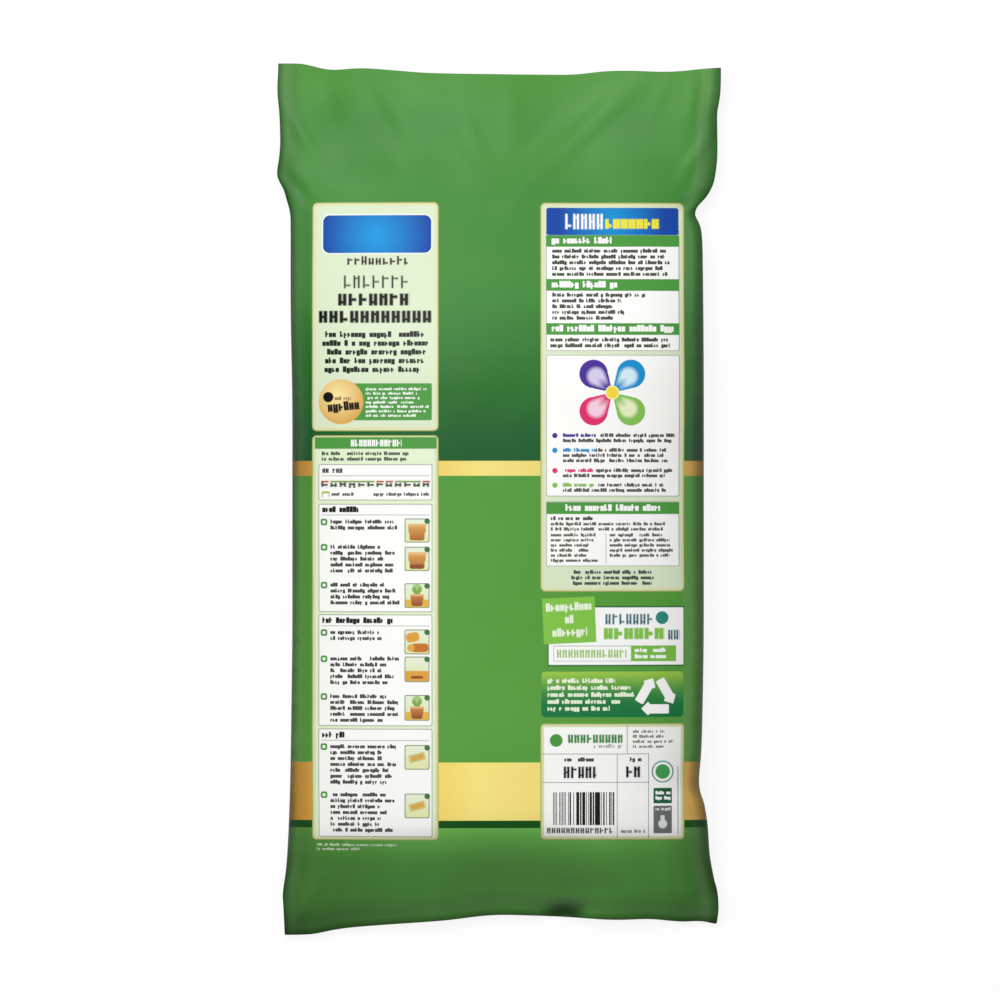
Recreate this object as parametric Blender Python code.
"""A sealed pillow bag of potting compost, lying on its front with the printed back up.

The bag is one tube of polyethylene film, pressed flat and welded across both ends.
Its filled body rests on the floor. The header above it and the foot below it are
mostly empty film, so they are as wide as the flat tube and lie nearly flat.

Metres, +Z up. +X runs across the bag and +Y towards its top end. The origin is on
the floor, under the middle of the bag.
"""

import math

import bmesh
import bpy
import numpy as np

MM = 0.001

# Lengths along the bag
HEADER_LENGTH = 0.082
BODY_LENGTH = 0.3286
FOOT_LENGTH = 0.082
SEAL_WIDTH = 0.008

# Widths across it
FILM_WIDTH = 0.2515
FILL_NARROWING = 0.019  # what the fill takes off the flat film's width
BODY_WIDTH = FILM_WIDTH - FILL_NARROWING

# Heights above the floor
CROWN_HEIGHT = 0.062
HEADER_TIP_HEIGHT = 0.012
FOOT_SEAL_HEIGHT = 0.0160  # where the weld at the foot begins; from there it droops to the cut
FLOOR_PRESS = 0.012  # how far the underside would bulge below the floor if it were free
SEAL_THICKNESS = 0.0008

# How far from each tip the film has reached its full height, and has come down to the floor
HEADER_RISE = 0.185
HEADER_LANDING = 0.100
FOOT_LANDING = 0.048

# How the upper film climbs from the foot's tip, steeply at first and then in a long swell:
# (share of the foot's length, share of the crown's height)
FOOT_CLIMB = [(0.0, 0.12), (0.145, 0.325), (0.25, 0.45), (0.39, 0.612), (0.5, 0.738), (0.59, 0.83),
              (0.68, 0.90), (0.78, 0.942), (1.0, 0.975), (1.4, 1.0)]

# How square the cross-section is: 2 and 0.5 give an ellipse
SECTION_SHOULDER = 2.3
SECTION_ROUNDNESS = 0.54
SIDE_FOLD_SHARE = 0.52  # where the upper film turns into the lower, from the keel up to the crown

# Printed fields. Each column of panels stands in from the side of the body.
PANEL_MARGIN = 0.0118
LEFT_PANEL_WIDTH = 0.070
RIGHT_PANEL_WIDTH = 0.081
PANEL_TOP_RISE = 0.0025  # above the shoulder of the header
LEFT_PANELS = [("cream", 0.1281), ("cream", 0.2263)]
LEFT_PANEL_GAP = 0.0034
RIGHT_PANELS = [("cream", 0.2182), ("white", 0.0333), ("leaf_green", 0.0254), ("white", 0.0643)]
RIGHT_PANEL_GAPS = [0.0087, 0.0034, 0.0045, 0.0]
NARROW_BAND_WIDTH = 0.0084
NARROW_BAND_RISE = 0.0175  # above the middle of the body
BROAD_BAND_WIDTH = 0.0328
DARK_LINE_WIDTH = 0.0042

# Mesh spacing
COLUMN_SPACING = 0.0095
RING_SPACING = 0.011
END_RING_SPACING = 0.0058
SIDE_STEPS = 5

HALF_LENGTH = (HEADER_LENGTH + BODY_LENGTH + FOOT_LENGTH) / 2
HEADER_SHOULDER = HALF_LENGTH - HEADER_LENGTH
FOOT_SHOULDER = FOOT_LENGTH - HALF_LENGTH
BODY_MIDDLE = (HEADER_SHOULDER + FOOT_SHOULDER) / 2

RIGHT_NOTCH = 0.988  # where the film tucks in below the header, as a share of the body

# The side edges seen from above, as (share of the stretch, inset in mm). The foot runs
# from its tip up to its shoulder, the body on to the header's shoulder, and the header
# on to its tip. Foot and header stand in from the flat film, the body from its width.
LEFT_FOOT = [(0.0, 4.7), (0.22, 4.1), (0.30, 3.5), (0.40, 4.9), (0.60, 6.4), (0.88, 7.5)]
LEFT_BODY = [(0.02, -1.5), (0.15, -0.8), (0.30, -0.3), (0.64, -0.3), (0.85, -1.4), (0.985, -1.5)]
LEFT_HEADER = [(0.10, 4.8), (0.165, 3.5), (0.19, 0.8), (0.215, 0.0), (0.32, 1.4), (0.45, 2.4),
               (0.66, 1.9), (0.81, 0.7), (1.0, 1.3)]
RIGHT_FOOT = [(0.0, 2.2), (0.10, 1.3), (0.22, 1.8), (0.33, 3.6), (0.55, 6.4), (0.72, 7.2), (0.93, 9.7)]
RIGHT_BODY = [(0.01, 3.7), (0.04, 2.2), (0.09, 1.3), (0.30, 0.2), (0.66, 0.2), (0.952, 0.8),
              (0.973, 1.5), (RIGHT_NOTCH, 5.6)]
RIGHT_HEADER = [(0.02, 13.0), (0.06, 9.3), (0.12, 5.6), (0.20, 3.6), (0.40, 1.9), (0.70, 2.2),
                (0.80, 0.3), (1.0, 0.0)]

# The cut ends seen from above, as (share of the half width, setback from the corner in mm)
TOP_CUT = [(-1.0, 0.0), (-0.90, 0.0), (-0.76, 3.9), (-0.64, 2.3), (-0.50, 3.4), (-0.30, 5.4),
           (0.0, 6.0), (0.35, 6.2), (0.46, 4.2), (0.58, 4.0), (0.75, 4.8), (1.0, 2.3)]
FOOT_CUT = [(-1.0, 0.0), (-0.88, 0.2), (-0.75, 3.4), (-0.55, 5.6), (-0.25, 8.2), (0.0, 11.3),
            (0.30, 10.2), (0.55, 8.5), (0.70, 9.2), (0.83, 7.3), (0.92, 7.9), (1.0, 6.2)]

# How the cut ends wave up and down
TIP_WAVE = 0.0022
TIP_WAVES_ACROSS = 2.3
TIP_WAVE_PHASE = 0.35

# Soft folds that run from the header into the body: start and end as (share of the half
# width, share of the header's length from its tip), then half width and height in mm
HEADER_FOLDS = [
    ((-0.78, 0.08), (-0.73, 0.36), 7.0, 1.3),
    ((-0.63, 0.08), (-0.40, 0.60), 8.0, 1.4),
    ((-0.38, 0.10), (-0.30, 0.50), 7.0, 1.2),
    ((-0.26, 0.38), (-0.10, 0.80), 8.0, 1.3),
    ((0.04, 0.08), (0.07, 0.50), 7.0, 1.0),
    ((0.62, 0.08), (0.05, 0.95), 11.0, 2.0),
    ((0.86, 0.10), (0.84, 0.55), 8.0, 1.4),
    ((-0.91, 0.30), (-0.84, 0.75), 8.0, 1.5),
]
# Pleats that gather the foot into its seal, in the same form from the foot's tip
FOOT_FOLDS = [
    ((-0.80, 0.06), (-0.70, 0.55), 8.0, 1.4),
    ((-0.42, 0.06), (-0.38, 0.60), 9.0, 1.2),
    ((-0.08, 0.06), (-0.10, 0.50), 9.0, 1.0),
    ((0.52, 0.06), (0.44, 0.60), 9.0, 1.3),
    ((0.84, 0.06), (0.70, 0.55), 8.0, 1.8),
]
# Places where the film buckles inwards: (share of the half width, distance in mm beyond
# the shoulder towards the tip, radius across, radius along, depth), all in mm
HEADER_DENTS = [(-0.90, 8.0, 17.0, 26.0, 7.0), (0.90, 6.0, 20.0, 28.0, 9.0)]
FOOT_DENTS = [(0.37, 66.0, 15.0, 10.0, 3.5), (0.95, 2.0, 12.0, 16.0, 4.0), (-0.93, 45.0, 12.0, 24.0, 3.0)]


def smooth_through(stations, at):
    """The height at each place of a smooth curve through the stations, which never overshoots."""
    places, values = (np.array(column, float) for column in zip(*stations))
    slopes = np.diff(values) / np.diff(places)
    tangents = np.zeros(len(places))
    same_way = slopes[:-1] * slopes[1:] > 0
    pairs = np.where(same_way, slopes[:-1] + slopes[1:], 1.0)
    tangents[1:-1] = np.where(same_way, 2 * slopes[:-1] * slopes[1:] / pairs, 0.0)
    at = np.clip(at, places[0], places[-1])
    left = np.clip(np.searchsorted(places, at, side="right") - 1, 0, len(places) - 2)
    gap = places[left + 1] - places[left]
    t = (at - places[left]) / gap
    return (
        values[left] * (1 + 2 * t) * (1 - t) ** 2
        + values[left + 1] * t**2 * (3 - 2 * t)
        + gap * tangents[left] * t * (1 - t) ** 2
        - gap * tangents[left + 1] * t**2 * (1 - t)
    )


def eased(share):
    """0 to 1 with a soft start and end."""
    share = np.clip(share, 0.0, 1.0)
    return share * share * (3 - 2 * share)


def side_outline(foot, body, header):
    """The (y, half width) points of one side edge, from the foot's tip to the header's."""
    stretches = [
        (foot, -HALF_LENGTH, FOOT_LENGTH, FILM_WIDTH),
        (body, FOOT_SHOULDER, BODY_LENGTH, BODY_WIDTH),
        (header, HEADER_SHOULDER, HEADER_LENGTH, FILM_WIDTH),
    ]
    return [
        (start + share * length, width / 2 - inset * MM)
        for stations, start, length, width in stretches
        for share, inset in stations
    ]


LEFT_SIDE = side_outline(LEFT_FOOT, LEFT_BODY, LEFT_HEADER)
RIGHT_SIDE = side_outline(RIGHT_FOOT, RIGHT_BODY, RIGHT_HEADER)


def half_width(x, y):
    """From the middle to the side edge that x lies towards."""
    return np.where(x < 0, smooth_through(LEFT_SIDE, y), smooth_through(RIGHT_SIDE, y))


def crown_height(y):
    """The height of the upper film along the middle of the bag."""
    from_top = np.clip((HALF_LENGTH - SEAL_WIDTH - y) / (HEADER_RISE - SEAL_WIDTH), 0, 1)
    foot = CROWN_HEIGHT * smooth_through(FOOT_CLIMB, (y + HALF_LENGTH) / FOOT_LENGTH)
    header = HEADER_TIP_HEIGHT + (CROWN_HEIGHT - HEADER_TIP_HEIGHT) * eased(from_top)
    return np.minimum(foot, header) + SEAL_THICKNESS / 2


def keel_height(y):
    """The height that the lower film would take along the middle if there were no floor."""
    from_foot = np.clip((y + HALF_LENGTH - SEAL_WIDTH) / (FOOT_LANDING - SEAL_WIDTH), 0, 1)
    from_top = np.clip((HALF_LENGTH - SEAL_WIDTH - y) / (HEADER_LANDING - SEAL_WIDTH), 0, 1)
    foot = FOOT_SEAL_HEIGHT - (FOOT_SEAL_HEIGHT + FLOOR_PRESS) * eased(from_foot)
    header = HEADER_TIP_HEIGHT - (HEADER_TIP_HEIGHT + FLOOR_PRESS) * eased(from_top)
    free = np.maximum(foot, header) - SEAL_THICKNESS / 2
    return np.minimum(free, crown_height(y) - SEAL_THICKNESS)


def ridge(x, y, start, end, half, height):
    """A soft ridge from start to end that fades at both ends."""
    run = np.subtract(end, start)
    along = ((x - start[0]) * run[0] + (y - start[1]) * run[1]) / (run @ run)
    along = np.clip(along, 0.0, 1.0)
    off = np.hypot(x - start[0] - along * run[0], y - start[1] - along * run[1])
    across = np.cos(np.clip(off / half, 0, 1) * math.pi / 2) ** 2
    return height * across * (0.35 + 0.65 * np.sin(along * math.pi))


def film_relief(x, y):
    """What folds and buckles add to the height of the film."""
    half = FILM_WIDTH / 2
    added = np.zeros(np.broadcast(x, y).shape)
    ends = ((HEADER_FOLDS, HALF_LENGTH, -HEADER_LENGTH), (FOOT_FOLDS, -HALF_LENGTH, FOOT_LENGTH))
    for folds, tip, length in ends:
        for (x0, y0), (x1, y1), wide, high in folds:
            start = (x0 * half, tip + y0 * length)
            end = (x1 * half, tip + y1 * length)
            added += ridge(x, y, start, end, wide * MM, high * MM)
    for dents, shoulder, way in ((HEADER_DENTS, HEADER_SHOULDER, 1), (FOOT_DENTS, FOOT_SHOULDER, -1)):
        for share, beyond, wide, long, deep in dents:
            off_x = (x - share * half) / (wide * MM)
            off_y = (y - shoulder - way * beyond * MM) / (long * MM)
            added -= deep * MM * np.exp(-(off_x**2) - off_y**2)
    return added


def cut_setback(x, y):
    """How far the cut ends stand back from the corners, fading out towards the body."""
    share = x / half_width(x, y)
    header = eased((y - HEADER_SHOULDER) / HEADER_LENGTH)
    foot = eased((FOOT_SHOULDER - y) / FOOT_LENGTH)
    return (foot * smooth_through(FOOT_CUT, share) - header * smooth_through(TOP_CUT, share)) * MM


def tip_wave(x, y):
    """How the empty film near the cut ends waves up and down."""
    share = eased((np.abs(y) - FOOT_LENGTH / 2) / (HALF_LENGTH - FOOT_LENGTH / 2)) ** 2
    turns = TIP_WAVES_ACROSS * x / FILM_WIDTH + TIP_WAVE_PHASE * np.sign(y)
    return TIP_WAVE * share * np.sin(turns * math.pi * 2)


def film_heights(x, y):
    """Heights of the upper and the lower film over the points (x, y)."""
    share = np.clip(np.abs(x) / half_width(x, y), 0.0, 1.0)
    dome = (1.0 - share**SECTION_SHOULDER) ** SECTION_ROUNDNESS
    crown, keel = crown_height(y), keel_height(y)
    fold = keel + SIDE_FOLD_SHARE * (crown - keel)
    upper = fold + (crown - fold) * dome
    lower = fold - (fold - keel) * dome
    empty = np.clip((crown - SEAL_THICKNESS - lower) / (CROWN_HEIGHT / 2), 0, 1)
    relief, wave = film_relief(x, y) * dome, tip_wave(x, y)
    lower = np.maximum(lower + relief * (1 - empty) ** 2 + wave, 0.0)
    upper = np.maximum(upper + relief + wave, lower + SEAL_THICKNESS * dome)
    return upper, lower


def spaced(lines, largest_gap):
    """The lines in order, with even steps between them that are no longer than the largest gap."""
    lines = sorted(set(round(line, 6) for line in lines))
    filled = [lines[0]]
    for low, high in zip(lines, lines[1:]):
        steps = max(1, math.ceil((high - low) / largest_gap - 1e-6))
        filled += [low + (high - low) * step / steps for step in range(1, steps + 1)]
    return filled


def stacked(panels, gaps, left, right):
    """(ink, left, right, bottom, top) of panels that stand below each other from the header down."""
    fields, top = [], HEADER_SHOULDER + PANEL_TOP_RISE
    for (ink, height), gap in zip(panels, gaps):
        fields.append((ink, left, right, top - height, top))
        top -= height + gap
    return fields


PANEL_EDGE = BODY_WIDTH / 2 - PANEL_MARGIN
NARROW_BAND = BODY_MIDDLE + NARROW_BAND_RISE
BROAD_BAND_FOOT = FOOT_SHOULDER - BROAD_BAND_WIDTH / 2
BANDS = [
    ("gold", NARROW_BAND - NARROW_BAND_WIDTH / 2, NARROW_BAND + NARROW_BAND_WIDTH / 2),
    ("gold", BROAD_BAND_FOOT, BROAD_BAND_FOOT + BROAD_BAND_WIDTH),
    ("dark_green", BROAD_BAND_FOOT - DARK_LINE_WIDTH, BROAD_BAND_FOOT),
]
PANELS = stacked(LEFT_PANELS, [LEFT_PANEL_GAP, 0.0], -PANEL_EDGE, LEFT_PANEL_WIDTH - PANEL_EDGE)
PANELS += stacked(RIGHT_PANELS, RIGHT_PANEL_GAPS, PANEL_EDGE - RIGHT_PANEL_WIDTH, PANEL_EDGE)
INKS = {
    "film_green": "52944A",
    "gold": "E9CE72",
    "dark_green": "18521B",
    "cream": "E4EFD2",
    "white": "FBFBF8",
    "leaf_green": "4FA04A",
}


def ring_lines():
    """Where the rings of the mesh lie along the bag, with one on each printed edge."""
    printed = [edge for _, low, high in BANDS for edge in (low, high)]
    printed += [edge for _, _, _, low, high in PANELS for edge in (low, high)]
    printed = [edge for edge in printed if FOOT_SHOULDER - FOOT_LENGTH / 2 < edge < HALF_LENGTH - SEAL_WIDTH]
    foot = spaced([-HALF_LENGTH, SEAL_WIDTH - HALF_LENGTH, FOOT_SHOULDER], END_RING_SPACING)
    header = spaced([HEADER_SHOULDER, HALF_LENGTH - SEAL_WIDTH, HALF_LENGTH], END_RING_SPACING)
    apart = END_RING_SPACING / 3
    kept = [line for line in foot + header if all(abs(line - edge) > apart for edge in printed)]
    notch = [FOOT_SHOULDER + (RIGHT_NOTCH - back) * BODY_LENGTH for back in (0.0, 0.015)]
    return spaced({-HALF_LENGTH, HALF_LENGTH, *kept, *printed, *notch}, RING_SPACING)


def column_shares():
    """Places across the panels, in metres from the middle, with one on each printed edge."""
    edges = [edge for _, left, right, _, _ in PANELS for edge in (left, right)]
    return spaced([-PANEL_EDGE, PANEL_EDGE] + edges, COLUMN_SPACING)


def ring_places(y):
    """The x of each column at this ring, from the left edge to the right, closer together at the sides."""
    steps = np.sin(np.arange(1, SIDE_STEPS + 1) / SIDE_STEPS * math.pi / 2)
    left = -PANEL_EDGE + (PANEL_EDGE + half_side(-1, y)) * steps
    right = PANEL_EDGE + (half_side(1, y) - PANEL_EDGE) * steps
    return np.concatenate([left[::-1], column_shares(), right])


def half_side(side, y):
    """Signed x of the left (-1) or right (1) edge."""
    return side * float(half_width(side, y))


def film_mesh():
    """The closed skin of the bag: rings of points round the tube, joined along it and across both cuts."""
    mesh = bmesh.new()
    rings, places = [], []
    for y in ring_lines():
        x = ring_places(y)
        upper, lower = film_heights(x, np.full_like(x, y))
        along = y + cut_setback(x, np.full_like(x, y))
        over = [mesh.verts.new(point) for point in zip(x, along, upper)]
        under = [mesh.verts.new(point) for point in zip(x[1:-1], along[1:-1], lower[1:-1])]
        rings.append(over + under[::-1])
        places.append(y)
    around = len(rings[0])
    for low, high in zip(rings, rings[1:]):
        for i in range(around):
            j = (i + 1) % around
            mesh.faces.new((low[i], low[j], high[j], high[i]))
    for ring, flip in ((rings[0], True), (rings[-1], False)):
        for i in range(around // 2):
            corners = [ring[i], ring[i + 1], ring[-i - 1], ring[-i]] if i else [ring[0], ring[1], ring[-1]]
            if i == around // 2 - 1:
                corners = [ring[i], ring[i + 1], ring[-i]]
            mesh.faces.new(corners[::-1] if flip else corners)
    bmesh.ops.recalc_face_normals(mesh, faces=mesh.faces)
    return mesh


def centred(mesh):
    """Moves the mesh so that its box stands on the floor around the origin."""
    corners = np.array([vertex.co for vertex in mesh.verts])
    low, high = corners.min(axis=0), corners.max(axis=0)
    shift = (-(low[0] + high[0]) / 2, -(low[1] + high[1]) / 2, -low[2])
    bmesh.ops.translate(mesh, verts=mesh.verts, vec=shift)


def ink_at(place, faces_up):
    """The printed field that covers this place."""
    if faces_up:
        for ink, left, right, low, high in PANELS:
            if left < place.x < right and low < place.y < high:
                return ink
    for ink, low, high in BANDS:
        if low < place.y < high:
            return ink
    return "film_green"


def film_material(name, colour):
    """Printed polyethylene film: satin, with a faint gloss."""
    material = bpy.data.materials.new(name)
    material.use_nodes = True
    shader = material.node_tree.nodes["Principled BSDF"]
    channels = [int(colour[i : i + 2], 16) / 255 for i in (0, 2, 4)]
    linear = [c / 12.92 if c <= 0.04045 else ((c + 0.055) / 1.055) ** 2.4 for c in channels]
    shader.inputs["Base Color"].default_value = (*linear, 1.0)
    shader.inputs["Roughness"].default_value = 0.42
    shader.inputs["Metallic"].default_value = 0.0
    material.diffuse_color = (*linear, 1.0)
    return material


def compost_bag():
    """The bag as one object, its print laid on as fields of colour."""
    mesh = film_mesh()
    names = list(INKS)
    for face in mesh.faces:
        face.material_index = names.index(ink_at(face.calc_center_median(), face.normal.z > 0))
        face.smooth = True
    centred(mesh)
    data = bpy.data.meshes.new("compost_bag")
    mesh.to_mesh(data)
    mesh.free()
    for name, colour in INKS.items():
        data.materials.append(film_material(name, colour))
    bag = bpy.data.objects.new("compost_bag", data)
    bpy.context.scene.collection.objects.link(bag)
    return bag


for old in list(bpy.data.objects):
    bpy.data.objects.remove(old)
compost_bag()
